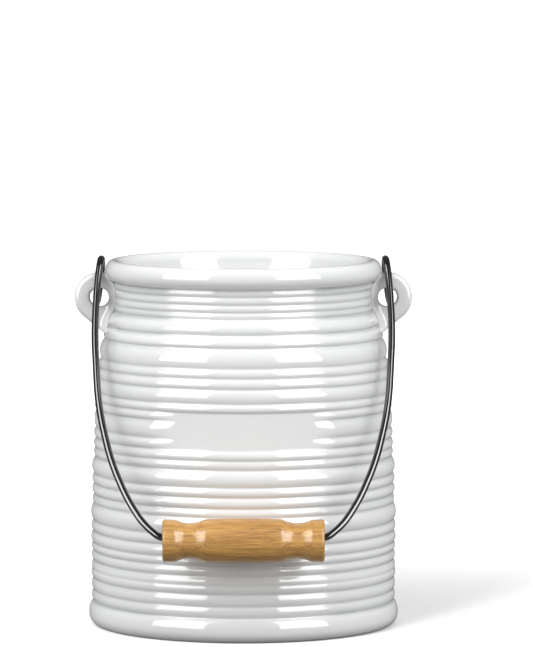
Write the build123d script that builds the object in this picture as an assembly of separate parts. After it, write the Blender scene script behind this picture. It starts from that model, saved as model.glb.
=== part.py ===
from build123d import *
import math
import os

# Stoneware utensil crock with a wire bail: a ribbed, glazed pot with a thick rolled lip, two
# pierced lugs at its neck, one round wire looped through them and a turned wooden grip.
# The origin is the middle of the foot, on the surface that the crock stands on. +Z is up, the
# lugs lie along X, and the bail hangs down the front, at -Y, with its grip against the belly.

os.makedirs("parts", exist_ok=True)

# Pot, thrown in one piece, mm
crock_height = 180.0
belly_radius = 75.4          # crest of the widest rib
neck_radius = 63.0           # bottom of the neck's grooves
wall = 4.8                   # behind the deepest grooves
rib_height = 1.327           # how far the widest rib stands past the line between its grooves
floor_thickness = 5.5
floor_corner = 9.0           # inside radius where the floor turns up into the wall

# Foot and the plain band above it
base_radius = 76.35          # widest point of the band
base_wide_height = 6.0       # height of that point
foot_radius = 71.5           # outer edge of the ring that touches the table
foot_ring_width = 5.5
foot_recess = 1.5            # the underside inside the ring is this much higher

# Rolled lip
lip_height = 10.5            # from the last groove to the rim
lip_overhang = 5.0           # past the bottom of the neck's grooves
lip_width = 8.0

# Smooth label panel at the front, left bare
panel_half_angle = 34.0      # degrees, each side of the front

# Lugs, luted on at the neck
lug_radius = 12.2
lug_thickness = 8.0
lug_hole_radius = 4.7
lug_reach = 7.9              # centre of the hole from the bottom of the neck's grooves
lug_drop = 18.5              # centre of the hole below the rim
lug_edge_round = 2.4
lug_hole_round = 1.4
lug_root = 3.0               # how far the lug is drawn in past the grooves before it is trimmed
web_slope = 38.7             # degrees below level of the web from the disc to the shoulder

# Bail, one length of round wire
wire_diameter = 3.5
loop_half_width = 7.25       # wire centre to the pivot, across the loop
loop_head = 3.6              # straight part of the loop above the pivot
loop_tail = 4.0              # straight part of the loop below the pivot
loop_tip_turn = 116.0        # degrees that the cut end turns round below the pivot
loop_lean = 6.0              # degrees that each loop leans in towards its top
loop_offset = 0.1            # middle of the loop outside the middle of the hole
strand_length = 6.0          # straight wire below the pivot before the leg starts to bend
leg_spread = 72.7            # corner of the route where the legs are widest, from the middle
leg_length = 145.0           # from the pivot to the wire's straight run through the grip
grip_bend_radius = 8.0
grip_bend_out = 1.2          # corner of that bend outside the grip's end

# Turned wooden grip
grip_length = 77.4
grip_radius = 10.75          # middle of the barrel
grip_shoulder_radius = 10.4  # ends of the barrel
grip_end_radius = 10.25
grip_neck_radius = 8.45
grip_barrel_length = 37.0
grip_collar_length = 6.0
grip_edge_round = 1.2
grip_cove_round = 3.0        # where a cove meets the barrel and the collar
grip_bore_radius = 3.5
grip_countersink = 0.8

# Clearances
rest_gap = 0.35              # grip to belly when the bail hangs at rest
grip_play = 0.25             # wire to bore on the side where the grip hangs

# Grooves of the pot from the foot up. Each has its height as a share of the way up to the lip, its
# depth as a share of the step from the neck to the line that the widest rib stands on, and the
# swell of the rib above it over the line to the next groove, as a share of the rib height.
groove_shares = (
    (0.0697, 0.971, 0.74), (0.1032, 1.007, 0.59), (0.1381, 1.007, 0.48), (0.1640, 1.059, 0.41),
    (0.1905, 0.997, 0.67), (0.2183, 0.997, 0.67), (0.2419, 1.016, 0.81), (0.2755, 1.011, 0.76),
    (0.3062, 1.011, 1.00), (0.3576, 0.989, 0.60), (0.3829, 0.962, 0.91), (0.4142, 0.953, 0.91),
    (0.4425, 0.962, 1.14), (0.4920, 0.903, 0.64), (0.5185, 0.912, 0.76), (0.5469, 0.876, 0.83),
    (0.5770, 0.876, 0.79), (0.6295, 0.849, 0.76), (0.6543, 0.831, 0.79), (0.6790, 0.804, 0.86),
    (0.7210, 0.758, 0.79), (0.7505, 0.695, 0.71), (0.7787, 0.651, 1.09), (0.8371, 0.478, 1.36),
    (0.8720, 0.244, 1.77), (0.9156, 0.000, 0.68), (0.9345, 0.000, 0.68), (0.9558, 0.000, 0.68),
    (0.9788, 0.000, 0.68),
)
panel_height_shares = (0.5469, 0.6543)   # the panel runs between the grooves at these heights
inside_belly_share = 0.62    # height where the straight inside wall ends, of the crock's height
inside_neck_share = 0.88     # height where the inside of the neck starts
inside_bend_share = 0.3      # of the shorter run beside it that each bend of the inside may use

# Corners of the leg's route below the loop, as shares of its spread and of its length
leg_route_shares = ((1.0, 0.226), (0.967, 0.516), (0.875, 0.722), (0.765, 0.859), (0.660, 0.948))
leg_bend_share = 0.48        # of the shorter run beside it that each bend of the leg may use

# Values worked out from the sizes above
wire_radius = wire_diameter / 2
lug_x = neck_radius + lug_reach
lug_z = crock_height - lug_drop
pivot_z = lug_z + (lug_hole_radius + lug_radius) / 2
wire_offset = grip_bore_radius - wire_radius - grip_play
grip_drop = leg_length + wire_offset
grip_arm = math.hypot(grip_drop, loop_half_width)
grip_forward = belly_radius + rest_gap + grip_radius
hang_angle = math.degrees(math.asin(grip_forward / grip_arm))
leg_lean = hang_angle - math.degrees(math.atan2(loop_half_width, grip_drop))
grip_height = pivot_z - grip_arm * math.cos(math.radians(hang_angle))


def quarter(start, corner, end):
    """Quarter ellipse that runs from start to end inside a square corner."""
    return Bezier(start, corner, end, weights=(1, math.sqrt(0.5), 1))


def bend_radii(route, run_share):
    """Radius at each inner corner of a route, which uses a share of the shorter run beside it."""
    radii = []
    for before, corner, after in zip(route, route[1:], route[2:]):
        run_in, run_out = corner - before, after - corner
        turn = math.radians(run_in.get_angle(run_out))
        shorter = min(run_in.length, run_out.length)
        radii.append(run_share * shorter / math.tan(turn / 2))
    return radii


def groove_bottoms():
    """Radius and height of each groove's bottom, the one under the lip last."""
    step, under_lip = belly_radius - rib_height - neck_radius, crock_height - lip_height
    bottoms = [
        (neck_radius + depth_share * step, height_share * under_lip)
        for height_share, depth_share, _ in groove_shares
    ]
    return bottoms + [(neck_radius, under_lip)]


def groove_at(height_share):
    """The groove that lies nearest to a share of the way up to the lip."""
    height = height_share * (crock_height - lip_height)
    return min(groove_bottoms(), key=lambda groove: abs(groove[1] - height))


def outside_edges():
    """Outside of the pot from the foot to the middle of the rim, as half-section edges."""
    grooves = groove_bottoms()
    foot, widest = (foot_radius, 0), (base_radius, base_wide_height)
    edges = [
        quarter(foot, (base_radius, 0), widest),
        quarter(widest, (base_radius, grooves[0][1]), grooves[0]),
    ]
    for (_, _, swell_share), low, high in zip(groove_shares, grooves, grooves[1:]):
        crest_radius = (low[0] + high[0]) / 2 + swell_share * rib_height
        edges.append(ThreePointArc(low, (crest_radius, (low[1] + high[1]) / 2), high))
    lip_radius = neck_radius + lip_overhang
    lip_side = (lip_radius, crock_height - lip_height / 2)
    rim = (lip_radius - lip_width / 2, crock_height)
    edges.append(quarter(grooves[-1], (lip_radius, grooves[-1][1]), lip_side))
    edges.append(quarter(lip_side, (lip_radius, crock_height), rim))
    return edges, rim


def inside_edges(rim):
    """Inside of the pot from the rim down the wall and across the floor to the axis."""
    lip_inside = (rim[0] - lip_width / 2, crock_height - lip_height / 2)
    neck, belly = neck_radius - wall, belly_radius - rib_height - wall
    floor = foot_recess + floor_thickness
    corners = [
        lip_inside,
        (neck, crock_height - lip_height),
        (neck, inside_neck_share * crock_height),
        (belly, inside_belly_share * crock_height),
        (belly, floor),
        (0, floor),
    ]
    bends = bend_radii([Vector(*corner) for corner in corners], inside_bend_share)
    wall_line = FilletPolyline(*corners, radius=bends[:-1] + [floor_corner])
    return [quarter(rim, (lip_inside[0], crock_height), lip_inside), wall_line]


def underside_edges():
    """Recessed underside from the axis out to the ring that the pot stands on."""
    ring_inside = foot_radius - foot_ring_width
    recess_edge = (ring_inside - foot_recess, foot_recess)
    return [
        Line((0, foot_recess), recess_edge),
        Line(recess_edge, (ring_inside, 0)),
        Line((ring_inside, 0), (foot_radius, 0)),
    ]


def turned(edges):
    """Solid of revolution from half-section edges that enclose an area."""
    return revolve(Plane.XZ * make_face(edges), Axis.Z)


def pot_envelope():
    """The pot as a solid plug, which trims what is luted on to it."""
    edges, rim = outside_edges()
    closing = Polyline(rim, (0, crock_height), (0, 0), (foot_radius, 0))
    return turned(edges + [closing])


def label_panel():
    """What is taken off the ribs at the front for the smooth band where lettering would go."""
    low, high = (groove_at(share) for share in panel_height_shares)
    outside = Polyline(high, (belly_radius, high[1]), (belly_radius, low[1]), low)
    section = Plane.XZ * make_face([Line(low, high), outside])
    start = -90 - panel_half_angle
    return revolve(Rot(Z=start) * section, Axis.Z, 2 * panel_half_angle)


def crock_body():
    """The pot with its floor, foot, lip and label panel."""
    edges, rim = outside_edges()
    inside = inside_edges(rim)
    axis = Line((0, foot_recess + floor_thickness), (0, foot_recess))
    return turned(edges + inside + [axis] + underside_edges()) - label_panel()


def lug_outline():
    """Disc of the lug at +X with the web that runs down into the shoulder, as a face."""
    slope = math.radians(web_slope)
    touch = (lug_x + lug_radius * math.sin(slope), lug_z - lug_radius * math.cos(slope))
    root = neck_radius - lug_root
    web_foot = (root, touch[1] - (touch[0] - root) * math.tan(slope))
    web = make_face(Polyline((lug_x, lug_z), touch, web_foot, (root, lug_z), close=True))
    return Plane.XZ * (web + Pos(lug_x, lug_z) * Circle(lug_radius))


def right_lug():
    """Pierced lug with rounded edges, trimmed to the pot's outside."""
    blank = extrude(lug_outline(), lug_thickness / 2, both=True)
    from_front_to_back = blank.edges().group_by(Axis.Y)
    blank = fillet(from_front_to_back[0] + from_front_to_back[-1], lug_edge_round)
    hole = Pos(lug_x, 0, lug_z) * Rot(X=90) * Cylinder(lug_hole_radius, 2 * lug_thickness)
    pierced = blank - hole
    circles = pierced.edges().filter_by(GeomType.CIRCLE)
    hole_rims = [circle for circle in circles if math.isclose(circle.radius, lug_hole_radius)]
    return fillet(hole_rims, lug_hole_round) - pot_envelope()


def loop_point(across, down):
    """Point of the right-hand loop, across from its middle line and down it from the pivot."""
    lean = math.radians(loop_lean)
    middle = lug_x + loop_offset
    return Vector(middle + down * math.sin(lean), across, -down * math.cos(lean))


def leg_route():
    """Corners of the right leg from the loop down to the middle of the grip, before it is leant."""
    strand_ends = loop_point(0, -loop_head), loop_point(0, strand_length)
    corners = [(point.X, -point.Z) for point in strand_ends]
    corners += [(spread * leg_spread, drop * leg_length) for spread, drop in leg_route_shares]
    corners += [(grip_length / 2 + grip_bend_out, leg_length), (0, leg_length)]
    return [Vector(x, -loop_half_width, -drop) for x, drop in corners]


def leg_bends(route):
    """Radius of each bend of the leg, wide ones from its runs and the tight one at the grip."""
    return bend_radii(route, leg_bend_share)[:-1] + [grip_bend_radius]


def bail_half_path():
    """Centre line of the right half: cut end, back of the loop, its head, leg and half the run."""
    tip_turn = math.radians(loop_tip_turn)

    def tip_point(angle):
        across, down = loop_half_width * math.cos(angle), loop_half_width * math.sin(angle)
        return loop_point(across, loop_tail + down)

    route = leg_route()
    return Wire([
        ThreePointArc(tip_point(tip_turn), tip_point(tip_turn / 2), tip_point(0)),
        Line(loop_point(loop_half_width, loop_tail), loop_point(loop_half_width, -loop_head)),
        ThreePointArc(
            loop_point(loop_half_width, -loop_head),
            loop_point(0, -loop_head - loop_half_width),
            loop_point(-loop_half_width, -loop_head),
        ),
        *FilletPolyline(*route, radius=leg_bends(route)).edges(),
    ])


def hung(shape):
    """Leans a piece drawn with its leg straight down forward to where the bail hangs at rest."""
    return Pos(0, 0, pivot_z) * Rot(X=-leg_lean) * shape


def bail_wire():
    """The whole wire, hung from both lugs with its run through the grip."""
    path = bail_half_path()
    section = Plane(path @ 0, z_dir=path % 0) * Circle(wire_radius)
    half = sweep(section, path)
    print(f"half of the bail's wire is {path.length:.1f} mm long")
    return hung(half + mirror(half, Plane.YZ))


def grip_outline():
    """Half section of the grip: collar, cove and barrel on each side, round an open bore."""
    half, barrel = grip_length / 2, grip_barrel_length / 2
    cove_start = half - grip_collar_length
    cove_middle = (cove_start + barrel) / 2

    def end_edges(side):
        end_face = (side * half, grip_end_radius - grip_edge_round)
        collar = (side * (half - grip_edge_round), grip_end_radius)
        return [
            Polyline(
                (side * (half - grip_countersink), grip_bore_radius),
                (side * half, grip_bore_radius + grip_countersink),
                end_face,
            ),
            quarter(end_face, (side * half, grip_end_radius), collar),
            Line(collar, (side * cove_start, grip_end_radius)),
            ThreePointArc(
                (side * cove_start, grip_end_radius),
                (side * cove_middle, grip_neck_radius),
                (side * barrel, grip_shoulder_radius),
            ),
        ]

    barrel_ends = (-barrel, grip_shoulder_radius), (barrel, grip_shoulder_radius)
    barrel_arc = ThreePointArc(barrel_ends[0], (0, grip_radius), barrel_ends[1])
    bore_x = half - grip_countersink
    bore = Line((-bore_x, grip_bore_radius), (bore_x, grip_bore_radius))
    face = make_face([*end_edges(1), *end_edges(-1), barrel_arc, bore])
    cove_ends = cove_start, barrel
    creases = [v for v in face.vertices() if any(math.isclose(abs(v.X), x) for x in cove_ends)]
    return fillet(creases, grip_cove_round)


def bail_grip():
    """Turned grip on the wire's run, resting against the belly."""
    grip = revolve(grip_outline(), Axis.X)
    return Pos(0, -grip_forward, grip_height) * grip


def main():
    lug = right_lug()
    nodes = {
        "crock_body": crock_body(),
        "right_lug": lug,
        "left_lug": mirror(lug, Plane.YZ),
        "bail_wire": bail_wire(),
        "bail_grip": bail_grip(),
    }
    for name, shape in nodes.items():
        shape.label = name
        export_step(shape, f"parts/{name}.step")
    print(f"pivot height {pivot_z:.2f}, grip at y {-grip_forward:.2f}, z {grip_height:.2f}")
    print(f"the bail hangs {hang_angle:.2f} degrees forward and its legs lean {leg_lean:.2f}")
    print("leg bends, mm:", [round(radius, 1) for radius in leg_bends(leg_route())])


main()
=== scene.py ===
"""Stoneware utensil crock with a wire bail: the surfaces and finishes of its pieces, and a stage.

The file is laid out as a Blender add-on and is run as a script. All sizes are in metres, in the
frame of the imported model: +Z is up, the lugs lie along X and the bail hangs at the front, at -Y.
"""

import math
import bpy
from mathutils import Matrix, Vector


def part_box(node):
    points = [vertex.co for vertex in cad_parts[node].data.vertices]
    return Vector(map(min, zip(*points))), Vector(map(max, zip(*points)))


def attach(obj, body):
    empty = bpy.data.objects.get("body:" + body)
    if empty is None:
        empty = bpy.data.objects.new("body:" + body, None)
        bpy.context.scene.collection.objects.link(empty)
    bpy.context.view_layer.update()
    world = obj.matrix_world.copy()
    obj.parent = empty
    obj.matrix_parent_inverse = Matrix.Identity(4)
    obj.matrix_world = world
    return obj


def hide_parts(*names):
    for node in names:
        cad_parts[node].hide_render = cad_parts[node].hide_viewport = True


bl_info = {
    "name": "Utensil Crock",
    "version": (1, 0, 0),
    "blender": (4, 5, 0),
    "location": "3D View > Sidebar > Crock",
    "description": "Ribbed, glazed crock with pierced lugs, a wire bail and a turned grip",
    "category": "Object",
}

import bpy
import numpy as np
from bpy.props import FloatProperty, FloatVectorProperty, PointerProperty
from mathutils import Vector

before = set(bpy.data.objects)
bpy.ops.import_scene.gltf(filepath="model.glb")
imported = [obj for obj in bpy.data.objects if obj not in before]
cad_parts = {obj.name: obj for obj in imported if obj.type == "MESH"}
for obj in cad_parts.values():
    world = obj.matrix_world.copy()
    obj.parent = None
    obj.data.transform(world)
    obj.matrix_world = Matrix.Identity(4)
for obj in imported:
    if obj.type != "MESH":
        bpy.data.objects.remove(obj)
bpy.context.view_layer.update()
pot_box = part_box("crock_body")
grip_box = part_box("bail_grip")

# Grooves of the pot from the foot up. Each has its height as a share of the way up to the lip, its
# depth as a share of the step from the neck to the line that the widest rib stands on, and the
# swell of the rib above it over the line to the next groove, as a share of the rib height.
GROOVE_SHARES = np.array((
    (0.0697, 0.971, 0.74), (0.1032, 1.007, 0.59), (0.1381, 1.007, 0.48), (0.1640, 1.059, 0.41),
    (0.1905, 0.997, 0.67), (0.2183, 0.997, 0.67), (0.2419, 1.016, 0.81), (0.2755, 1.011, 0.76),
    (0.3062, 1.011, 1.00), (0.3576, 0.989, 0.60), (0.3829, 0.962, 0.91), (0.4142, 0.953, 0.91),
    (0.4425, 0.962, 1.14), (0.4920, 0.903, 0.64), (0.5185, 0.912, 0.76), (0.5469, 0.876, 0.83),
    (0.5770, 0.876, 0.79), (0.6295, 0.849, 0.76), (0.6543, 0.831, 0.79), (0.6790, 0.804, 0.86),
    (0.7210, 0.758, 0.79), (0.7505, 0.695, 0.71), (0.7787, 0.651, 1.09), (0.8371, 0.478, 1.36),
    (0.8720, 0.244, 1.77), (0.9156, 0.000, 0.68), (0.9345, 0.000, 0.68), (0.9558, 0.000, 0.68),
    (0.9788, 0.000, 0.68),
))
PANEL_HEIGHT_SHARES = (0.5469, 0.6543)
INSIDE_BELLY_SHARE = 0.62
INSIDE_NECK_SHARE = 0.88
INSIDE_BEND_SHARE = 0.3

# Corners of the leg's route below the loop, as shares of its spread and of its length
LEG_ROUTE_SHARES = np.array(
    ((1.0, 0.226), (0.967, 0.516), (0.875, 0.722), (0.765, 0.859), (0.660, 0.948))
)
LEG_BEND_SHARE = 0.48

# Slow unevenness of the thrown wall: turns round the pot, waves up it, phase, and share of the depth
THROWN_WAVES = ((2, 0.7, 0.4, 0.40), (3, 1.6, 2.1, 0.25), (5, 2.3, 4.0, 0.20), (9, 4.1, 1.2, 0.15))

# Where the ribs run out below each lug's middle, from and to, as shares of the lug's radius
RIB_END_SHARES = (1.7, 1.3)

# Where the glaze starts to round the wall off in full, as a share of the band's widest height
BAND_EDGE_SHARE = 1.5

# Softboxes: turn from the front in degrees, and width in metres
SOFTBOXES = {"key": (-49, 1.07), "fill": (46, 0.98)}

# Lamps that no mirror shows: turn from the front and angle above the floor in degrees, distance
# from the pot and size in metres, and watts. The sun throws the pot's shadow on the floor.
PLAIN_LAMPS = {
    "top": (0, 67, 1.5, 1.4, 8),
    "left": (-100, 12, 1.5, 1.3, 9),
    "right": (100, 12, 1.5, 1.3, 9),
    "back": (180, 12, 1.5, 1.3, 9),
    "sun": (-24, 32, 2.4, 0.34, 44),
}

# Fineness of the meshes: steps in metres along lines, points round pieces and rings over a form
FINE_STEP = 0.00005
RIB_STEP = 0.00045
INSIDE_STEP = 0.003
UNDERSIDE_STEP = 0.004
WIRE_STEP = 0.0009
TURNED_STEP = 0.0001
GRIP_END_STEP = 0.0006
CROCK_COLUMNS = 160
LUG_COLUMNS = 192
WIRE_COLUMNS = 24
GRIP_COLUMNS = 96
LIP_RINGS = 34
STRAND_RINGS = 6
TIP_RINGS = 4
# Rings over which the wall's mean line is taken, for the painted groove shade
TREND_RINGS = 12


def number(name, description, default, **kind):
    """Property that holds a number, plain or of a kind."""
    return FloatProperty(name=name, description=description, default=default, **kind)


def length(name, description, metres):
    """Property that holds a length in metres."""
    return number(name, description, metres, unit="LENGTH", precision=5)


def angle(name, description, degrees):
    """Property that holds an angle, given in degrees."""
    return number(name, description, math.radians(degrees), subtype="ANGLE")


def colour(name, description, rgb):
    """Property that holds a colour with full alpha."""
    return FloatVectorProperty(
        name=name, description=description, default=(*rgb, 1), subtype="COLOR", size=4, min=0, max=1
    )


class CrockPot(bpy.types.PropertyGroup):
    """Sizes of the thrown pot."""

    height: length("Height", "From the foot to the rim", pot_box[1].z)
    belly_radius: length("Belly radius", "Crest of the widest rib", 0.0754)
    neck_radius: length("Neck radius", "Bottom of the neck's grooves", 0.0630)
    wall: length("Wall", "Behind the deepest grooves", 0.0048)
    rib_height: length("Rib height", "Of the widest rib over the line between its grooves", 0.001327)
    floor_thickness: length("Floor thickness", "Of the pot's floor", 0.0055)
    floor_corner: length("Floor corner", "Inside radius where the floor meets the wall", 0.009)
    base_radius: length("Base radius", "Widest point of the band at the foot", pot_box[1].x)
    base_wide_height: length("Base height", "Height of the band's widest point", 0.006)
    foot_radius: length("Foot radius", "Outer edge of the foot ring", 0.0715)
    foot_ring_width: length("Foot ring", "Width of the ring on the table", 0.0055)
    foot_recess: length("Foot recess", "Depth of the underside inside the ring", 0.0015)
    foot_round: length("Foot rounding", "Rounding of the foot ring's inner edge", 0.0008)
    lip_height: length("Lip height", "From the last groove to the rim", 0.0105)
    lip_overhang: length("Lip overhang", "Past the bottom of the neck's grooves", 0.005)
    lip_width: length("Lip width", "Across the rolled lip", 0.008)
    panel_half_angle: angle("Panel half angle", "Each side of the front", 34)
    panel_fade: angle("Panel fade", "Turn over which the ribs run out", 13)
    glaze_softness: length("Glaze softness", "How far the glaze rounds off the grooves", 0.00024)
    thrown_depth: length("Unevenness", "Depth of the wall's slow unevenness", 0.00016)


class CrockLugs(bpy.types.PropertyGroup):
    """Sizes of the two pierced lugs."""

    radius: length("Lug radius", "Of the lug's disc", 0.0122)
    thickness: length("Lug thickness", "Front to back", 0.008)
    hole_radius: length("Hole radius", "Of the hole for the wire", 0.0047)
    reach: length("Reach", "Centre of the hole from the bottom of the neck's grooves", 0.0079)
    drop: length("Drop", "Centre of the hole below the rim", 0.0185)
    edge_round: length("Edge rounding", "Of the lug's outer edge", 0.0024)
    hole_round: length("Hole rounding", "Of the hole's edges", 0.0014)
    web_slope: angle("Web slope", "Of the web's lower edge, below level", 38.7)
    root: length("Root", "How far the lug runs into the clay of the pot", 0.002)
    fillet: length("Fillet", "Of clay and glaze in the corner to the pot", 0.004)


class CrockBail(bpy.types.PropertyGroup):
    """Sizes of the wire bail."""

    wire_diameter: length("Wire diameter", "Of the round wire", 0.0035)
    loop_half_width: length("Loop half width", "Wire centre to the pivot, across the loop", 0.00725)
    loop_head: length("Loop head", "Straight part of the loop above the pivot", 0.0036)
    loop_tail: length("Loop tail", "Straight part of the loop below the pivot", 0.004)
    loop_tip_turn: angle("Tip turn", "How far the cut end turns round below the pivot", 116)
    loop_lean: angle("Loop lean", "How far each loop leans in at its top", 6)
    loop_offset: length("Loop offset", "Middle of the loop outside the middle of the hole", 0.0001)
    strand_length: length("Strand", "Straight wire below the pivot", 0.006)
    leg_spread: length("Leg spread", "Corner where the legs are widest", 0.0727)
    leg_length: length("Leg length", "From the pivot to the run through the grip", 0.145)
    bend_radius: length("Bend radius", "Of the bend into the grip", 0.008)
    bend_out: length("Bend out", "Corner of that bend outside the grip's end", 0.0012)
    tip_round: length("Tip rounding", "Of the cut ends", 0.0006)
    grip_play: length("Grip play", "Wire to bore where the grip hangs", 0.00025)
    rest_gap: length("Rest gap", "Grip to belly at rest", 0.00035)


class CrockGrip(bpy.types.PropertyGroup):
    """Sizes of the turned grip."""

    length: length("Grip length", "Along the wire", grip_box[1].x - grip_box[0].x)
    radius: length("Grip radius", "Middle of the barrel", 0.01075)
    shoulder_radius: length("Shoulder radius", "Ends of the barrel", 0.0104)
    end_radius: length("End radius", "Of the two collars", 0.01025)
    neck_radius: length("Neck radius", "Bottom of the coves", 0.00845)
    barrel_length: length("Barrel length", "Between the coves", 0.037)
    collar_length: length("Collar length", "Of each collar", 0.006)
    edge_round: length("Edge rounding", "Of the collars", 0.0012)
    turned_softness: length("Turned softness", "How far sanding rounds the coves' edges", 0.0007)
    bore_radius: length("Bore radius", "Of the hole for the wire", 0.0035)
    countersink: length("Countersink", "Of the bore's mouths", 0.0008)
    mouth_round: length("Mouth rounding", "Of the bore's mouths", 0.0003)


class CrockLooks(bpy.types.PropertyGroup):
    """Colours of the finishes."""

    glaze: colour("Glaze", "White glaze", (0.78, 0.785, 0.785))
    # Painted shade: the colour the glaze darkens to in the grooves, which also stands for thicker
    # glaze there
    glaze_pool_and_shade: colour("Glaze pool", "Glaze where it is thick", (0.53, 0.545, 0.55))
    clay: colour("Clay", "Unglazed clay of the foot ring", (0.62, 0.55, 0.45))
    wire: colour("Wire", "Black enamel", (0.006, 0.006, 0.006))
    wood_light: colour("Light wood", "Between the fibres", (0.74, 0.415, 0.10))
    wood_dark: colour("Dark wood", "Dense fibres", (0.25, 0.090, 0.018))
    wood_pore: colour("Wood pores", "Open pores", (0.17, 0.065, 0.018))


class CrockStage(bpy.types.PropertyGroup):
    """Camera, lamps and floor."""

    camera_distance: length("Camera distance", "From the pot's axis", 2.5221)
    camera_height: length("Camera height", "Above the table", 0.36095)
    camera_pitch: angle("Camera pitch", "Below level", 4.818)
    camera_yaw: angle("Camera yaw", "To the right", 0.25856)
    lens: number("Lens", "Focal length in millimetres", 285.85)
    film_height: number("Film height", "Longer side of the frame, in millimetres", 36)
    camera_reach: length("Camera reach", "Farthest that it shows", 100)
    floor_size: length("Floor size", "Across the floor", 60)
    softbox_distance: length("Softbox distance", "From the pot's axis", 1.4)
    softbox_foot: length("Softbox foot", "Lower edge above the table", 0.08)
    softbox_height: length("Softbox height", "From the lower to the upper edge", 2.1)
    softbox_gleam: number("Softbox gleam", "How many times brighter mirrors show it", 2.9)
    gleam_gap: length("Gleam gap", "To the lamp behind it, which only mirrors show", 0.03)
    softbox_power: number("Softbox power", "Watts of each softbox", 20.5)
    ambient: number("Ambient", "Strength of the light from all round", 0.265)
    paper: colour("Paper", "Floor as the camera sees it", (0.59, 0.59, 0.59))
    paper_bounce: colour("Paper bounce", "Floor for the light that it throws back", (0.1, 0.1, 0.1))
    floor_lift: number("Floor lift", "White added to the floor by the pot", 0.235)
    floor_near: length("Floor near", "Where the floor starts to turn to plain white", 0.09)
    floor_far: length("Floor far", "Where the floor is plain white", 0.7)
    mirrored: number("Mirrored", "Share of the white that mirrors show", 0.12)


def smooth_step(value, low, high):
    """0 below low, 1 above high, and 3 t^2 - 2 t^3 between them."""
    t = np.clip((value - low) / (high - low), 0, 1)
    return t * t * (3 - 2 * t)


def arc_rise(across, chord, rise):
    """Height over a chord of the arc with a rise at its middle: sqrt(R^2 - x^2) - (R - rise)."""
    tiny = 1e-9
    bulge = np.abs(rise) + tiny
    radius = (chord**2 / 4 + bulge**2) / (2 * bulge)
    height = np.sqrt(np.maximum(radius**2 - across**2, 0)) - (radius - bulge)
    return np.sign(rise) * height


def blurred(values, step, spread):
    """Values on an even grid, averaged with a bell curve exp(-x^2 / (2 spread^2))."""
    widths = 4
    reach = int(widths * spread / step)
    x = np.arange(-reach, reach + 1) * step
    bell = np.exp(-(x**2) / (2 * spread**2))
    return np.convolve(np.pad(values, reach, mode="edge"), bell / bell.sum(), "valid")


def bend_radii(corners, run_share):
    """Radius at each inner corner: a share of the shorter run beside it over tan(turn / 2)."""
    runs = np.diff(np.array(corners, float), axis=0)
    lengths = np.linalg.norm(runs, axis=1)
    cosines = (runs[:-1] * runs[1:]).sum(axis=1) / (lengths[:-1] * lengths[1:])
    shorter = np.minimum(lengths[:-1], lengths[1:])
    return run_share * shorter / np.tan(np.arccos(cosines) / 2)


def straight(start, end, spacing):
    """Even points from start up to, and without, end."""
    count = max(2, int(np.linalg.norm(end - start) / spacing) + 1)
    return start + np.linspace(0, 1, count)[:-1, None] * (end - start)


def rounded_route(corners, radii, spacing):
    """Points along straight runs joined by arcs. An arc of radius R starts R tan(turn / 2) before
    its corner, and its points are start + R (sin a run_in + (1 - cos a) inward)."""
    least_points = 6
    corners = np.array(corners, float)
    parts = []
    start = corners[0]
    for before, corner, after, radius in zip(corners, corners[1:], corners[2:], radii):
        run_in = (corner - before) / np.linalg.norm(corner - before)
        run_out = (after - corner) / np.linalg.norm(after - corner)
        turn = math.acos(np.clip(run_in @ run_out, -1, 1))
        cut = radius * math.tan(turn / 2)
        arc_start = corner - cut * run_in
        inward = (run_out - math.cos(turn) * run_in) / math.sin(turn)
        count = max(least_points, int(radius * turn / spacing) + 2)
        a = np.linspace(0, turn, count)[:-1, None]
        parts.append(straight(start, arc_start, spacing))
        parts.append(arc_start + radius * (np.sin(a) * run_in + (1 - np.cos(a)) * inward))
        start = corner + cut * run_out
    parts.append(straight(start, corners[-1], spacing))
    parts.append(corners[-1:])
    return np.concatenate(parts)


def resampled(points, spacing):
    """The same line with even spacing along its length."""
    along = np.concatenate([[0], np.cumsum(np.linalg.norm(np.diff(points, axis=0), axis=1))])
    stations = np.linspace(0, along[-1], int(along[-1] / spacing) + 2)
    return np.stack([np.interp(stations, along, axis) for axis in points.T], axis=1)


def ring_faces(count, around, poles):
    """Corner numbers of the quads between neighbouring rings and, with poles, of the end fans.
    Without poles the last ring joins the first."""
    index = np.arange(count * around).reshape(count, around)
    lower, upper = (index[:-1], index[1:]) if poles else (index, np.roll(index, -1, axis=0))
    quads = np.stack([lower, np.roll(lower, -1, 1), np.roll(upper, -1, 1), upper], axis=-1)
    if not poles:
        return quads.reshape(-1, 4), np.empty((0, 3), int)
    first, last = index[0], index[-1]
    low_pole, high_pole = np.full(around, count * around), np.full(around, count * around + 1)
    fans = [
        np.stack([low_pole, np.roll(first, -1), first], axis=-1),
        np.stack([high_pole, last, np.roll(last, -1)], axis=-1),
    ]
    return quads.reshape(-1, 4), np.concatenate(fans)


def placed(name, data):
    """New object in the scene that holds the data."""
    made = bpy.data.objects.new(name, data)
    bpy.context.scene.collection.objects.link(made)
    return made


def skin(name, rings, poles=None):
    """Smooth closed mesh over rings of points, at the origin, with its faces turned outwards.
    Its signed volume is the sum of a . (b x c) / 6 over its triangles, and is made positive."""
    count, around = rings.shape[:2]
    vertices = rings.reshape(-1, 3)
    if poles is not None:
        vertices = np.concatenate([vertices, np.array(poles, float)])
    quads, fans = ring_faces(count, around, poles is not None)
    triangles = np.concatenate([quads[:, [0, 1, 2]], quads[:, [0, 2, 3]], fans])
    a, b, c = (vertices[triangles[:, corner]] for corner in range(3))
    if np.einsum("ij,ij->i", a, np.cross(b, c)).sum() < 0:
        quads, fans = quads[:, ::-1], fans[:, ::-1]
    mesh = bpy.data.meshes.new(name)
    mesh.from_pydata(vertices.tolist(), [], quads.tolist() + fans.tolist())
    mesh.shade_smooth()
    return placed(name, mesh)


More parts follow.
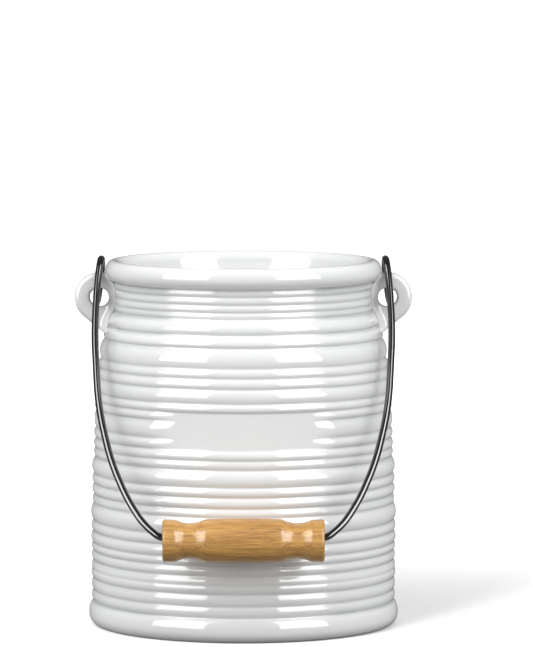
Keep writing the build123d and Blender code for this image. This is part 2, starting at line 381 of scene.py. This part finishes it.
def groove_lines(pot):
    """Radius and height of each groove's bottom, the one under the lip last."""
    under_lip = pot.height - pot.lip_height
    step = pot.belly_radius - pot.rib_height - pot.neck_radius
    radii = pot.neck_radius + GROOVE_SHARES[:, 1] * step
    return np.append(radii, pot.neck_radius), np.append(GROOVE_SHARES[:, 0] * under_lip, under_lip)


def dome(z, middle, half):
    """Share of an ellipse's half width at heights z: sqrt(1 - ((z - middle) / half)^2)."""
    return np.sqrt(np.clip(1 - ((z - middle) / half) ** 2, 0, 1))


def ribbed_radius(pot, z):
    """Outside radius at heights z: quarter ellipses for the foot's band and under the lip, and
    between two grooves the line that joins them plus the rib's arc."""
    radii, heights = groove_lines(pot)
    which = np.clip(np.searchsorted(heights, z, side="right") - 1, 0, len(GROOVE_SHARES) - 1)
    low, high = heights[which], heights[which + 1]
    line = radii[which] + (z - low) / (high - low) * (radii[which + 1] - radii[which])
    rise = GROOVE_SHARES[which, 2] * pot.rib_height
    radius = line + arc_rise(z - (low + high) / 2, high - low, rise)
    wide = pot.base_wide_height
    below = pot.foot_radius + (pot.base_radius - pot.foot_radius) * dome(z, wide, wide)
    above = radii[0] + (pot.base_radius - radii[0]) * dome(z, wide, heights[0] - wide)
    band = np.where(z < wide, below, above)
    middle = pot.height - pot.lip_height / 2
    lip = pot.neck_radius + pot.lip_overhang * dome(z, middle, middle - heights[-1])
    return np.where(z < heights[0], band, np.where(z > heights[-1], lip, radius))


def outside_lines(pot):
    """Heights, ribbed radii and panel radii of the outside, evenly spaced along the ribbed line.
    The smooth panel is straight between its two edge grooves, and above the foot's band the glaze
    rounds off both lines by a bell curve."""
    radii, heights = groove_lines(pot)
    z = np.arange(0, pot.height - pot.lip_height / 2 + FINE_STEP / 2, FINE_STEP)
    ribbed = ribbed_radius(pot, z)
    edges = [np.abs(heights - share * heights[-1]).argmin() for share in PANEL_HEIGHT_SHARES]
    low, high = heights[edges]
    plain = np.interp(z, (low, high), radii[edges])
    panelled = np.where((z > low) & (z < high), plain, ribbed)
    glazed = smooth_step(z, pot.base_wide_height, BAND_EDGE_SHARE * pot.base_wide_height)
    soft = [
        line + glazed * (blurred(line, FINE_STEP, pot.glaze_softness) - line)
        for line in (ribbed, panelled)
    ]
    return resampled(np.stack([z, *soft], axis=1), RIB_STEP).T


def quarter(centre, radii, start, end, count):
    """Points of an ellipse round centre from start to end, in degrees."""
    a = np.radians(np.linspace(start, end, count))
    return np.stack([centre[0] + radii[0] * np.cos(a), centre[1] + radii[1] * np.sin(a)], axis=1)


def inside_line(pot):
    """Radius and height down the inside, from the lip to the middle of the floor."""
    neck = pot.neck_radius - pot.wall
    belly = pot.belly_radius - pot.rib_height - pot.wall
    floor = pot.foot_recess + pot.floor_thickness
    lip_inside = pot.neck_radius + pot.lip_overhang - pot.lip_width
    corners = [
        (lip_inside, pot.height - pot.lip_height / 2),
        (neck, pot.height - pot.lip_height),
        (neck, INSIDE_NECK_SHARE * pot.height),
        (belly, INSIDE_BELLY_SHARE * pot.height),
        (belly, floor),
        (0, floor),
    ]
    bends = bend_radii(corners, INSIDE_BEND_SHARE)
    bends[-1] = pot.floor_corner
    return rounded_route(corners, bends, INSIDE_STEP)


def underside_line(pot):
    """Radius and height from the middle of the underside out to the edge of the foot."""
    ring, recess = pot.foot_radius - pot.foot_ring_width, pot.foot_recess
    corners = [(0, recess), (ring - recess, recess), (ring, 0), (pot.foot_radius, 0)]
    return rounded_route(corners, [pot.foot_round, pot.foot_round], UNDERSIDE_STEP)


def thrown_share(azimuth, height_share):
    """Slow unevenness between 0 and 1: a sum of sines round the pot and up it."""
    total = sum(
        share * np.sin(turns * azimuth + 2 * math.pi * waves * height_share + phase)
        for turns, waves, phase, share in THROWN_WAVES
    )
    return (1 + total) / 2


def crock_section(pot):
    """Radius, panel radius, height and share of the ribbed wall of each ring, from the underside's
    middle over the foot, the wall and the lip to the middle of the floor."""
    z, ribbed, panelled = outside_lines(pot)
    middle, half = pot.height - pot.lip_height / 2, pot.lip_height / 2
    rim = pot.neck_radius + pot.lip_overhang - pot.lip_width / 2
    roll = quarter((rim, middle), (pot.lip_width / 2, half), 0, 180, LIP_RINGS)
    under, inside = underside_line(pot)[1:-1], inside_line(pot)[1:-1]
    radius, panel, height = (
        np.concatenate([under[:, axis], line, roll[1:, axis], inside[:, axis]])
        for axis, line in ((0, ribbed), (0, panelled), (1, z))
    )
    wall = smooth_step(z, pot.base_wide_height / 2, pot.base_wide_height)
    wall = wall * (1 - smooth_step(z, pot.height - pot.lip_height, middle))
    return radius, panel, height, np.pad(wall, (len(under), len(roll) - 1 + len(inside)))


def by_lugs(pot, lug, azimuth, z):
    """1 where the wall meets a lug's fillet, 0 past it: a product of smooth steps away from the
    lug's middle plane and up and down from its web and its disc."""
    half = lug.thickness / 2
    reach = half + lug.fillet
    aside = 1 - smooth_step(pot.neck_radius * np.abs(np.cos(azimuth)), half, reach + half)
    lug_z = pot.height - lug.drop
    under_lip = pot.height - pot.lip_height
    up = smooth_step(z, *(lug_z - share * lug.radius for share in RIB_END_SHARES))
    return aside * up * (1 - smooth_step(z, under_lip - lug.fillet / 4, under_lip))


def build_crock(pot, lug):
    """Crock as a surface of revolution: x = r sin(azimuth), y = -r cos(azimuth), where azimuth =
    t - sin(4 t) / 8 sets the columns closer at the front, the back and the lugs. Inside the panel's
    angle r runs over from the ribbed line to the panel's, by the lugs it runs over to the ribs'
    mean line, and the wall's slow unevenness takes a little off it."""
    radius, panel, height, wall = crock_section(pot)
    t = np.linspace(-math.pi, math.pi, CROCK_COLUMNS, endpoint=False)[None, :]
    azimuth = t - np.sin(4 * t) / 8
    half, fade = pot.panel_half_angle, pot.panel_fade / 2
    in_panel = 1 - smooth_step(np.abs(azimuth), half - fade, half + fade)
    r = radius[:, None] + in_panel * (panel - radius)[:, None]
    smoothed = by_lugs(pot, lug, azimuth, height[:, None]) * wall[:, None]
    r = r + smoothed * (outside_radius(pot, lug, height)[:, None] - r)
    uneven = thrown_share(azimuth, height[:, None] / pot.height)
    r = r - pot.thrown_depth * wall[:, None] * uneven
    rings = np.stack([r * np.sin(azimuth), -r * np.cos(azimuth), height[:, None] + 0 * r], axis=-1)
    floor = pot.foot_recess + pot.floor_thickness
    piece = skin("crock_glazed", rings, poles=((0, 0, pot.foot_recess), (0, 0, floor)))
    # Painted shade: each ring's depth below the wall's mean line, plus a little on all the ribbed
    # wall outside the panel, darkens the glaze's colour; it also stands for thicker glaze in the
    # grooves
    groove_pool_and_shade_least = 0.1
    trend = blurred(radius, 1, TREND_RINGS)
    depth = np.clip((trend - radius) / pot.rib_height + groove_pool_and_shade_least, 0, 1) * wall
    groove_pool_and_shade = depth[:, None] * (1 - in_panel)
    stored = piece.data.attributes.new("groove_pool_and_shade", "FLOAT", "POINT")
    stored.data.foreach_set("value", np.append(groove_pool_and_shade.ravel(), (0, 0)).astype(np.float32))
    return piece


def outside_radius(pot, lug, z):
    """Outside radius of the whole pot at any heights z, with its ribs averaged for the fillet."""
    fine = np.arange(0, pot.height - pot.lip_height / 2, FINE_STEP)
    return np.interp(z, fine, blurred(ribbed_radius(pot, fine), FINE_STEP, lug.fillet / 2))


def lug_outline(pot, lug, turn):
    """Distance from the hole's centre to the lug's edge in each direction: the disc's radius, and
    towards the pot below the disc the web's edge, radius / cos(angle to the edge's normal). Every
    ray ends where it has gone in past the pot's outside by the root."""
    far, least_facing, longest_ray, ray_points = 1, 0.05, 0.04, 900
    x, z = np.cos(turn), np.sin(turn)
    slope_x, slope_z = math.cos(lug.web_slope), math.sin(lug.web_slope)
    facing = x * slope_z - z * slope_x
    to_web = np.where(facing > least_facing, lug.radius / np.maximum(facing, least_facing), far)
    past_touch = (x * slope_x + z * slope_z < 0) & (z < 0)
    edge = np.where(past_touch, np.maximum(to_web, lug.radius), lug.radius)
    lug_x, lug_z = pot.neck_radius + lug.reach, pot.height - lug.drop
    steps = np.linspace(0, longest_ray, ray_points)[None, :]
    ray_x, ray_z = lug_x + steps * x[:, None], lug_z + steps * z[:, None]
    inside = ray_x < outside_radius(pot, lug, ray_z) - lug.root
    hit = np.where(inside.any(axis=1), steps[0, inside.argmax(axis=1)], far)
    return np.minimum(edge, hit)


def lug_section(lug):
    """Section of the lug as three columns: share of the way from the hole to the edge, offset from
    there, and depth. It runs from the hole's wall over the front to the edge and round the back."""
    half = lug.thickness / 2
    hole_points, edge_points, face_points = 8, 10, 30
    hole_centre, edge_centre = half - lug.hole_round, half - lug.edge_round
    hole = quarter((lug.hole_round, hole_centre), (lug.hole_round,) * 2, 180, 90, hole_points)
    edge = quarter((-lug.edge_round, edge_centre), (lug.edge_round,) * 2, 90, 0, edge_points)
    face_share = np.linspace(0, 1, face_points)[1:-1]
    face_offset = lug.hole_round * (1 - face_share) - lug.edge_round * face_share
    share = np.concatenate([[0], np.zeros(len(hole)), face_share, np.ones(len(edge)), [1]])
    offset = np.concatenate([[0], hole[:, 0], face_offset, edge[:, 0], [0]])
    depth = np.concatenate([[0], hole[:, 1], np.full_like(face_share, half), edge[:, 1], [0]])
    front = np.stack([share, offset, depth])
    back = front[:, -2:0:-1] * np.array([[1], [1], [-1]])
    return np.concatenate([front, back], axis=1)[:, :, None]


def build_lug(name, side, pot, lug):
    """Lug as rings round its hole, one for each point of its section. A ring's point lies at
    hole + share (edge - hole) + offset from the centre, and near the pot the fillet adds
    F (1 - gap / F)^2 to each side of its thickness."""
    turn = np.linspace(0, 2 * math.pi, LUG_COLUMNS, endpoint=False)
    edge = lug_outline(pot, lug, turn)[None, :]
    share, offset, depth = lug_section(lug)
    out = lug.hole_radius + share * (edge - lug.hole_radius) + offset
    x = pot.neck_radius + lug.reach + out * np.cos(turn)
    z = pot.height - lug.drop + out * np.sin(turn)
    gap = np.clip(x - outside_radius(pot, lug, z), 0, lug.fillet)
    swell = lug.fillet * (1 - gap / lug.fillet) ** 2
    y = depth * (1 + swell / (lug.thickness / 2))
    rings = np.stack([side * x, y + 0 * x, z], axis=-1)
    return skin(name, rings)


def loop_points(bail, pot, lug, across, down):
    """Points of the right-hand loop: across from its middle line and down it from the pivot."""
    middle = pot.neck_radius + lug.reach + bail.loop_offset
    x = middle + down * math.sin(bail.loop_lean)
    return np.stack([x, across, -down * math.cos(bail.loop_lean)], axis=1)


def bail_loop(bail, pot, lug):
    """Cut end, back strand and head of the loop, from (h cos a, tail + h sin a) for the tip to
    (h cos b, -head - h sin b) over the head."""
    half = bail.loop_half_width
    tip = np.linspace(bail.loop_tip_turn, 0, int(half * bail.loop_tip_turn / WIRE_STEP))
    head = np.linspace(0, math.pi, int(half * math.pi / WIRE_STEP))
    strand = np.linspace(bail.loop_tail, -bail.loop_head, STRAND_RINGS + 2)[1:-1]
    across = np.concatenate([half * np.cos(tip), np.full_like(strand, half), half * np.cos(head)])
    tip_down, head_down = bail.loop_tail + half * np.sin(tip), -bail.loop_head - half * np.sin(head)
    down = np.concatenate([tip_down, strand, head_down])
    return loop_points(bail, pot, lug, across, down)


def leg_corners(bail, pot, lug, grip):
    """Corners of the right leg's route, from the loop's head to the middle of the grip."""
    strand = loop_points(bail, pot, lug, np.zeros(2), np.array([-bail.loop_head, bail.strand_length]))
    route = LEG_ROUTE_SHARES * (bail.leg_spread, bail.leg_length)
    x = np.concatenate([strand[:, 0], route[:, 0], [grip.length / 2 + bail.bend_out, 0]])
    z = np.concatenate([strand[:, 2], -route[:, 1], [-bail.leg_length, -bail.leg_length]])
    return np.stack([x, np.full_like(x, -bail.loop_half_width), z], axis=1)


def grip_drop(bail, grip):
    """Distance from the pivot down to the grip's axis, with the legs straight down."""
    return bail.leg_length + grip.bore_radius - bail.wire_diameter / 2 - bail.grip_play


def hung(points, bail, pot, lug, grip):
    """Points turned about the pivot line, from legs straight down to the rest pose, in which the
    grip lies against the belly. The lean is asin(forward / reach) - atan(loop half width / drop)."""
    drop = grip_drop(bail, grip)
    forward = pot.belly_radius + bail.rest_gap + grip.radius
    hang = math.asin(forward / math.hypot(drop, bail.loop_half_width))
    lean = hang - math.atan2(bail.loop_half_width, drop)
    pivot = pot.height - lug.drop + (lug.hole_radius + lug.radius) / 2
    x, y, z = np.moveaxis(points, -1, 0)
    c, s = math.cos(lean), math.sin(lean)
    return np.stack([x, c * y + s * z, pivot - s * y + c * z], axis=-1)


def build_bail(bail, pot, lug, grip):
    """Wire as rings round its centre line, p + r (cos t a + sin t b). In the loop a is the loop's
    normal and b is tangent x a, and in the leg b is -Y and a is b x tangent, so the two meet.
    The left half mirrors the right."""
    radius = bail.wire_diameter / 2
    corners = leg_corners(bail, pot, lug, grip)
    loop = bail_loop(bail, pot, lug)
    bends = bend_radii(corners, LEG_BEND_SHARE)
    bends[-1] = bail.bend_radius
    leg = rounded_route(corners, bends, WIRE_STEP)[1:]
    centre = np.concatenate([loop, leg])
    tangent = np.gradient(centre, axis=0)
    tangent /= np.linalg.norm(tangent, axis=1, keepdims=True)
    normal = np.array([math.cos(bail.loop_lean), 0, math.sin(bail.loop_lean)])
    sideways = np.array([0, -1, 0])
    in_loop = (np.arange(len(centre)) < len(loop))[:, None]
    a = np.where(in_loop, normal, np.cross(sideways, tangent))
    b = np.where(in_loop, np.cross(tangent, normal), sideways)
    turned = np.radians(np.linspace(0, 90, TIP_RINGS, endpoint=False))
    inset = bail.tip_round * (1 - np.sin(turned))
    tip_centre = centre[0] + (bail.tip_round - inset)[:, None] * tangent[0]
    keep = np.linalg.norm(centre - centre[0], axis=1) > bail.tip_round
    keep[len(loop):] = True
    centre = np.concatenate([tip_centre, centre[keep]])
    a = np.concatenate([np.repeat(a[:1], TIP_RINGS, 0), a[keep]])
    b = np.concatenate([np.repeat(b[:1], TIP_RINGS, 0), b[keep]])
    size = np.concatenate([radius - inset, np.full(keep.sum(), radius)])[:, None, None]
    t = np.linspace(0, 2 * math.pi, WIRE_COLUMNS, endpoint=False)[None, :, None]
    right = centre[:, None] + size * (np.cos(t) * a[:, None] + np.sin(t) * b[:, None])
    left = right[-2::-1] * (-1, 1, 1)
    rings = hung(np.concatenate([right, left]), bail, pot, lug, grip)
    tip = hung(centre[0], bail, pot, lug, grip)
    return skin("bail_enamelled", rings, poles=(tip, tip * (-1, 1, 1)))


def grip_radius(grip, x):
    """Radius of the turned outside at distances x from its middle: the barrel's shallow arc, the
    cove's arc and the straight collar, rounded by a bell curve."""
    barrel = grip.barrel_length / 2
    collar = grip.length / 2 - grip.collar_length
    middle, chord = (barrel + collar) / 2, collar - barrel
    swell = arc_rise(x, 2 * barrel, grip.radius - grip.shoulder_radius)
    line = grip.shoulder_radius + (x - barrel) / chord * (grip.end_radius - grip.shoulder_radius)
    depth = grip.neck_radius - (grip.shoulder_radius + grip.end_radius) / 2
    cove = line + arc_rise(x - middle, chord, depth)
    past_barrel = np.where(x < collar, cove, grip.end_radius)
    return np.where(x < barrel, grip.shoulder_radius + swell, past_barrel)


def build_grip(grip, bail, pot, lug):
    """Grip as rings round its axis, (x, r sin t, r cos t), along its closed section: the turned
    outside, the rounded ends, the countersinks and the bore."""
    keep_every = 7
    half = grip.length / 2
    x = np.arange(-half, half, TURNED_STEP)
    turned = blurred(grip_radius(grip, np.abs(x)), TURNED_STEP, grip.turned_softness)
    end_start = half - 2 * grip.edge_round
    outside = np.stack([x, turned], axis=1)[(x >= 0) & (x < end_start)][::keep_every]
    end = rounded_route(
        [
            (end_start, grip.end_radius),
            (half, grip.end_radius),
            (half, grip.bore_radius + grip.countersink),
            (half - grip.countersink, grip.bore_radius),
            (0, grip.bore_radius),
        ],
        [grip.edge_round, grip.mouth_round, grip.mouth_round],
        GRIP_END_STEP,
    )
    section = np.concatenate([outside, end])
    section = np.concatenate([section, section[-2:0:-1] * (-1, 1)])
    t = np.linspace(0, 2 * math.pi, GRIP_COLUMNS, endpoint=False)[None, :]
    r = section[:, 1:2]
    axis = np.array([0, -bail.loop_half_width, -grip_drop(bail, grip)])
    _, y, z = hung(axis, bail, pot, lug, grip)
    rings = np.stack([section[:, :1] + 0 * t, y + r * np.sin(t), z + r * np.cos(t)], axis=-1)
    return skin("bail_grip_turned", rings)


class Signal:
    """Output socket of a node, on which sums are written as Python."""

    def __init__(self, finish, socket):
        self.finish = finish
        self.socket = socket

    def maths(self, operation, *values):
        sockets = dict(enumerate(values))
        return self.finish.node("ShaderNodeMath", {"operation": operation}, sockets)

    def __add__(self, other):
        return self.maths("ADD", self, other)

    def __sub__(self, other):
        return self.maths("SUBTRACT", self, other)

    def __rsub__(self, other):
        return self.maths("SUBTRACT", other, self)

    def __mul__(self, other):
        return self.maths("MULTIPLY", self, other)

    def rising(self, low, high):
        """0 below low, 1 above high, smooth between."""
        return self.finish.node(
            "ShaderNodeMapRange",
            {"interpolation_type": "SMOOTHSTEP"},
            {"Value": self, "From Min": low, "From Max": high},
        )

    __radd__ = __add__
    __rmul__ = __mul__


class Finish:
    """Material of one finish, or the world, while its nodes are made."""

    def __init__(self, name, kept_in=None):
        self.material = (bpy.data.materials if kept_in is None else kept_in).new(name)
        self.material.use_nodes = True
        self.tree = self.material.node_tree
        self.tree.nodes.clear()

    def node(self, kind, settings=None, sockets=None, output=0):
        """Adds a node with its settings and the values or links of its sockets."""
        made = self.tree.nodes.new(kind)
        for key, value in (settings or {}).items():
            setattr(made, key, value)
        for key, value in (sockets or {}).items():
            if isinstance(value, Signal):
                self.tree.links.new(value.socket, made.inputs[key])
            else:
                made.inputs[key].default_value = value
        return Signal(self, made.outputs[output]) if len(made.outputs) else made

    def place(self, location=(0, 0, 0), scale=(1, 1, 1)):
        """Object coordinates, stretched and moved."""
        here = self.node("ShaderNodeTexCoord", output="Object")
        sockets = {"Vector": here, "Location": location, "Scale": scale}
        return self.node("ShaderNodeMapping", {}, sockets)

    def white_seen(self, mirrored):
        """1 for the camera and through glass, the mirrored share in mirrors, 0 for other light."""
        seen = self.node("ShaderNodeLightPath", output="Is Glossy Ray") * mirrored
        for ray in ("Is Camera Ray", "Is Transmission Ray"):
            seen = seen.maths("MAXIMUM", seen, self.node("ShaderNodeLightPath", output=ray))
        return seen

    def noise(self, place, scale=1, detail=2, roughness=0.5):
        """Soft noise between 0 and 1."""
        sockets = {"Vector": place, "Scale": scale, "Detail": detail, "Roughness": roughness}
        return self.node("ShaderNodeTexNoise", {}, sockets)

    def mix(self, factor, first, second):
        """Colour between first and second."""
        sockets = {0: factor, 6: first, 7: second}
        return self.node("ShaderNodeMix", {"data_type": "RGBA"}, sockets, output=2)

    def bump(self, height, distance, normal=None):
        """Bends the normal by a distance in metres times the height's signal."""
        sockets = {"Height": height, "Distance": distance, "Strength": 1}
        if normal:
            sockets["Normal"] = normal
        return self.node("ShaderNodeBump", {}, sockets)

    def surface(self, **sockets):
        """Ends the material in one Principled shader and returns it."""
        named = {key.replace("_", " "): value for key, value in sockets.items()}
        shader = self.node("ShaderNodeBsdfPrincipled", {}, named)
        self.node("ShaderNodeOutputMaterial", {}, {"Surface": shader})
        return self.material


def shaded(rgba, share):
    """The colour times a share, with full alpha."""
    return (*(share * part for part in rgba[:3]), 1)


def glaze_finish(looks):
    """White gloss glaze: darker in the grooves by painted shade, which also stands for thicker glaze
    there, faintly clouded, with a soft ripple and a fine skin. The foot ring, wiped clean before
    firing, shows matt clay."""
    clouding, clay_shade = 0.18, 0.8
    bare_below, glazed_above = 0.00022, 0.00045
    gloss, cloud_dulling, clay_dulling = 0.012, 0.02, 0.6
    finish = Finish("white_glaze")
    here = finish.place()
    # Painted shade: the stored groove depth darkens the glaze towards its groove colour
    groove_pool_and_shade = finish.node("ShaderNodeAttribute", {"attribute_name": "groove_pool_and_shade"}, output="Fac")
    cloud = finish.noise(here, scale=46, detail=3)
    ripple = finish.noise(here, scale=95, detail=1)
    skin_grain = finish.noise(here, scale=1400, detail=1)
    white = finish.mix(groove_pool_and_shade + cloud * clouding, looks.glaze, looks.glaze_pool_and_shade)
    height = finish.node("ShaderNodeSeparateXYZ", {}, {"Vector": here}, output="Z")
    bare = 1 - height.rising(bare_below, glazed_above)
    clay_grain = finish.noise(here, scale=2600, detail=3)
    clay = finish.mix(clay_grain, looks.clay, shaded(looks.clay, clay_shade))
    relief = finish.bump(skin_grain, distance=0.000002)
    relief = finish.bump(ripple, distance=0.0001, normal=relief)
    return finish.surface(
        Base_Color=finish.mix(bare, white, clay),
        Roughness=gloss + cloud * cloud_dulling + bare * clay_dulling,
        IOR=1.52,
        Normal=relief,
    )


def enamel_finish(looks):
    """Black gloss enamel on steel wire, with a faint unevenness."""
    lightest, gloss, dulling = 2.2, 0.015, 0.02
    finish = Finish("black_enamel")
    here = finish.place()
    flow = finish.noise(here, scale=420)
    fine = finish.noise(here, scale=2400, detail=1)
    tone = finish.mix(flow, looks.wire, shaded(looks.wire, lightest))
    relief = finish.bump(fine, distance=0.0000005)
    return finish.surface(
        Base_Color=tone,
        Roughness=gloss + flow * dulling,
        IOR=1.55,
        Coat_Weight=1,
        Coat_Roughness=gloss,
        Normal=finish.bump(flow, distance=0.000006, normal=relief),
    )


def wood_finish(looks, grip_place):
    """Turned hardwood with its grain along the grip: fine short fibres, darker flecks where they
    open into pores, and a slow change of tone, under a satin oil finish."""
    band_share, grain_share, lightening, pore_share = 0.5, 1.1, 0.92, 0.45
    pores_from, pores_full = 0.56, 0.66
    satin, fibre_dulling = 0.5, 0.12
    finish = Finish("honey_wood")
    centred = tuple(-part for part in grip_place)
    bands = finish.noise(finish.place(centred, scale=(14, 150, 150)))
    fibres = finish.noise(finish.place(centred, scale=(85, 1700, 1700)), detail=4, roughness=0.7)
    streaks = finish.noise(finish.place(centred, scale=(34, 620, 620)), detail=3, roughness=0.6)
    flecks = finish.noise(finish.place(centred, scale=(120, 3200, 3200)), detail=1)
    pores = flecks.rising(pores_from, pores_full)
    dark = bands * band_share + fibres * grain_share + streaks * grain_share - lightening
    tone = finish.mix(dark, looks.wood_light, looks.wood_dark)
    tone = finish.mix(pores * pore_share, tone, looks.wood_pore)
    relief = finish.bump(fibres, distance=0.00002)
    relief = finish.bump(pores, distance=-0.00005, normal=relief)
    return finish.surface(
        Base_Color=tone,
        Roughness=satin + fibres * fibre_dulling,
        IOR=1.35,
        Coat_Weight=0.9,
        Coat_Roughness=0.22,
        Normal=relief,
    )


def floor_finish(stage):
    """Matt white paper that keeps its shadows. The camera, mirrors and glass see it lifted to plain
    white away from the pot, and mirrors see less of that. It throws back less light than white
    paper."""
    finish = Finish("white_paper")
    seen = finish.white_seen(stage.mirrored)
    middle = {0: finish.place()}
    away = finish.node("ShaderNodeVectorMath", {"operation": "LENGTH"}, middle, output="Value")
    lift = stage.floor_lift + away.rising(stage.floor_near, stage.floor_far) * (1 - stage.floor_lift)
    white = finish.mix(seen, stage.paper_bounce, stage.paper)
    paper = finish.node("ShaderNodeBsdfDiffuse", {}, {"Color": white})
    glow = finish.node("ShaderNodeEmission", {}, {"Strength": seen * lift})
    both = finish.node("ShaderNodeAddShader", {}, {0: paper, 1: glow})
    finish.node("ShaderNodeOutputMaterial", {}, {"Surface": both})
    return finish.material


def light_world(stage):
    """Plain light from all round on matt surfaces, which the camera and glass see as white and
    mirrors as less."""
    studio = Finish("studio", bpy.data.worlds)
    seen = studio.white_seen(stage.mirrored)
    plain_light = studio.node("ShaderNodeLightPath", output="Is Diffuse Ray") * stage.ambient
    strength = seen.maths("MAXIMUM", seen, plain_light)
    plain = studio.node("ShaderNodeBackground", {}, {"Color": (1, 1, 1, 1), "Strength": strength})
    studio.node("ShaderNodeOutputWorld", {}, {"Surface": plain})
    bpy.context.scene.world = studio.material


def area_lamp(name, place, target, size, power):
    """Square-cornered lamp aimed at a point and never seen itself."""
    lamp = bpy.data.lights.new(name, "AREA")
    lamp.shape = "RECTANGLE"
    lamp.size, lamp.size_y = size
    lamp.energy = power
    made = placed(name, lamp)
    made.location = place
    made.rotation_euler = (target - place).to_track_quat("-Z", "Y").to_euler()
    made.visible_camera = False
    return made


def around(azimuth, distance, height):
    """Point at an angle from the front, a distance from the pot's axis and a height."""
    return Vector((distance * math.sin(azimuth), -distance * math.cos(azimuth), height))


def place_lamps(stage, floor):
    """Tall upright softboxes, each with a lamp just behind it that only mirrors show, and the
    plain lamps, of which the sun lights the floor alone."""
    middle = stage.softbox_foot + stage.softbox_height / 2
    gleam_power = stage.softbox_power * (stage.softbox_gleam - 1)
    for name, (turn, width) in SOFTBOXES.items():
        azimuth, target = math.radians(turn), Vector((0, 0, middle))
        size = (width, stage.softbox_height)
        place = around(azimuth, stage.softbox_distance, middle)
        area_lamp(name, place, target, size, stage.softbox_power)
        behind = around(azimuth, stage.softbox_distance + stage.gleam_gap, middle)
        gleam = area_lamp(name + "_gleam", behind, target, size, gleam_power)
        gleam.visible_diffuse = False
    for name, (turn, rise, distance, size, power) in PLAIN_LAMPS.items():
        azimuth, elevation = math.radians(turn), math.radians(rise)
        place = around(azimuth, distance * math.cos(elevation), distance * math.sin(elevation))
        lamp = area_lamp(name, place, Vector((0, 0, 0)), (size, size), power)
        lamp.visible_glossy = False
    lit = bpy.data.collections.new("lit_by_sun")
    lit.objects.link(floor)
    bpy.data.objects["sun"].light_linking.receiver_collection = lit


def place_camera(stage):
    """Camera in front of the pot, looking a little down."""
    camera = bpy.data.cameras.new("camera")
    camera.lens = stage.lens
    camera.sensor_width = stage.film_height
    camera.clip_end = stage.camera_reach
    made = placed("camera", camera)
    made.location = (0, -stage.camera_distance, stage.camera_height)
    made.rotation_euler = (math.pi / 2 - stage.camera_pitch, 0, -stage.camera_yaw)
    bpy.context.scene.camera = made


def seat(piece, body, node, material):
    """Gives a piece its material, body and slot, and hides the CAD node that it stands for."""
    piece.data.materials.append(material)
    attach(piece, body)
    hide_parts(node)


def shared_glaze(looks):
    """The glaze of the pot and its lugs, made once."""
    return bpy.data.materials.get("white_glaze") or glaze_finish(looks)


class CROCK_OT_pot(bpy.types.Operator):
    """Builds the ribbed, glazed pot"""

    bl_idname = "crock.pot"
    bl_label = "Build pot"

    def execute(self, context):
        scene = context.scene
        pot = build_crock(scene.crock_pot, scene.crock_lugs)
        seat(pot, "crock", "crock_body", shared_glaze(scene.crock_looks))
        return {"FINISHED"}


class CROCK_OT_lugs(bpy.types.Operator):
    """Builds the two pierced lugs"""

    bl_idname = "crock.lugs"
    bl_label = "Build lugs"

    def execute(self, context):
        scene = context.scene
        for name, side in (("left_lug", -1), ("right_lug", 1)):
            piece = build_lug(name + "_glazed", side, scene.crock_pot, scene.crock_lugs)
            seat(piece, "crock", name, shared_glaze(scene.crock_looks))
        return {"FINISHED"}


class CROCK_OT_bail(bpy.types.Operator):
    """Builds the wire bail"""

    bl_idname = "crock.bail"
    bl_label = "Build bail"

    def execute(self, context):
        scene = context.scene
        piece = build_bail(scene.crock_bail, scene.crock_pot, scene.crock_lugs, scene.crock_grip)
        seat(piece, "bail", "bail_wire", enamel_finish(scene.crock_looks))
        return {"FINISHED"}


class CROCK_OT_grip(bpy.types.Operator):
    """Builds the turned wooden grip"""

    bl_idname = "crock.grip"
    bl_label = "Build grip"

    def execute(self, context):
        scene = context.scene
        piece = build_grip(scene.crock_grip, scene.crock_bail, scene.crock_pot, scene.crock_lugs)
        place = (grip_box[0] + grip_box[1]) / 2
        seat(piece, "grip", "bail_grip", wood_finish(scene.crock_looks, place))
        return {"FINISHED"}


class CROCK_OT_stage(bpy.types.Operator):
    """Places the floor, the lamps and the camera"""

    bl_idname = "crock.stage"
    bl_label = "Build stage"

    def execute(self, context):
        stage = context.scene.crock_stage
        corners = [(-1, -1, 0), (1, -1, 0), (1, 1, 0), (-1, 1, 0)]
        mesh = bpy.data.meshes.new("floor")
        mesh.from_pydata((np.array(corners) * stage.floor_size / 2).tolist(), [], [(0, 1, 2, 3)])
        mesh.materials.append(floor_finish(stage))
        floor = placed("floor", mesh)
        place_lamps(stage, floor)
        light_world(stage)
        place_camera(stage)
        context.scene.view_settings.view_transform = "Standard"
        return {"FINISHED"}


class CROCK_PT_panel(bpy.types.Panel):
    """Lists the crock's sizes, colours and build steps"""

    bl_idname = "CROCK_PT_panel"
    bl_label = "Utensil crock"
    bl_space_type = "VIEW_3D"
    bl_region_type = "UI"
    bl_category = "Crock"

    def draw(self, context):
        for step in STEPS:
            self.layout.operator(step.bl_idname)
        for name, group in GROUPS.items():
            box = self.layout.box()
            for key in group.__annotations__:
                box.prop(getattr(context.scene, name), key)


GROUPS = {
    "crock_pot": CrockPot,
    "crock_lugs": CrockLugs,
    "crock_bail": CrockBail,
    "crock_grip": CrockGrip,
    "crock_looks": CrockLooks,
    "crock_stage": CrockStage,
}
STEPS = (CROCK_OT_stage, CROCK_OT_pot, CROCK_OT_lugs, CROCK_OT_bail, CROCK_OT_grip)


def register():
    """Registers the classes and puts the property groups on the scene."""
    for made in (*GROUPS.values(), *STEPS, CROCK_PT_panel):
        bpy.utils.register_class(made)
    for name, group in GROUPS.items():
        setattr(bpy.types.Scene, name, PointerProperty(type=group))


def unregister():
    """Takes away what register added."""
    for name in GROUPS:
        delattr(bpy.types.Scene, name)
    for made in (CROCK_PT_panel, *reversed(STEPS), *reversed(GROUPS.values())):
        bpy.utils.unregister_class(made)


def main():
    register()
    bpy.ops.crock.stage()
    bpy.ops.crock.pot()
    bpy.ops.crock.lugs()
    bpy.ops.crock.bail()
    bpy.ops.crock.grip()


if __name__ == "__main__":
    main()
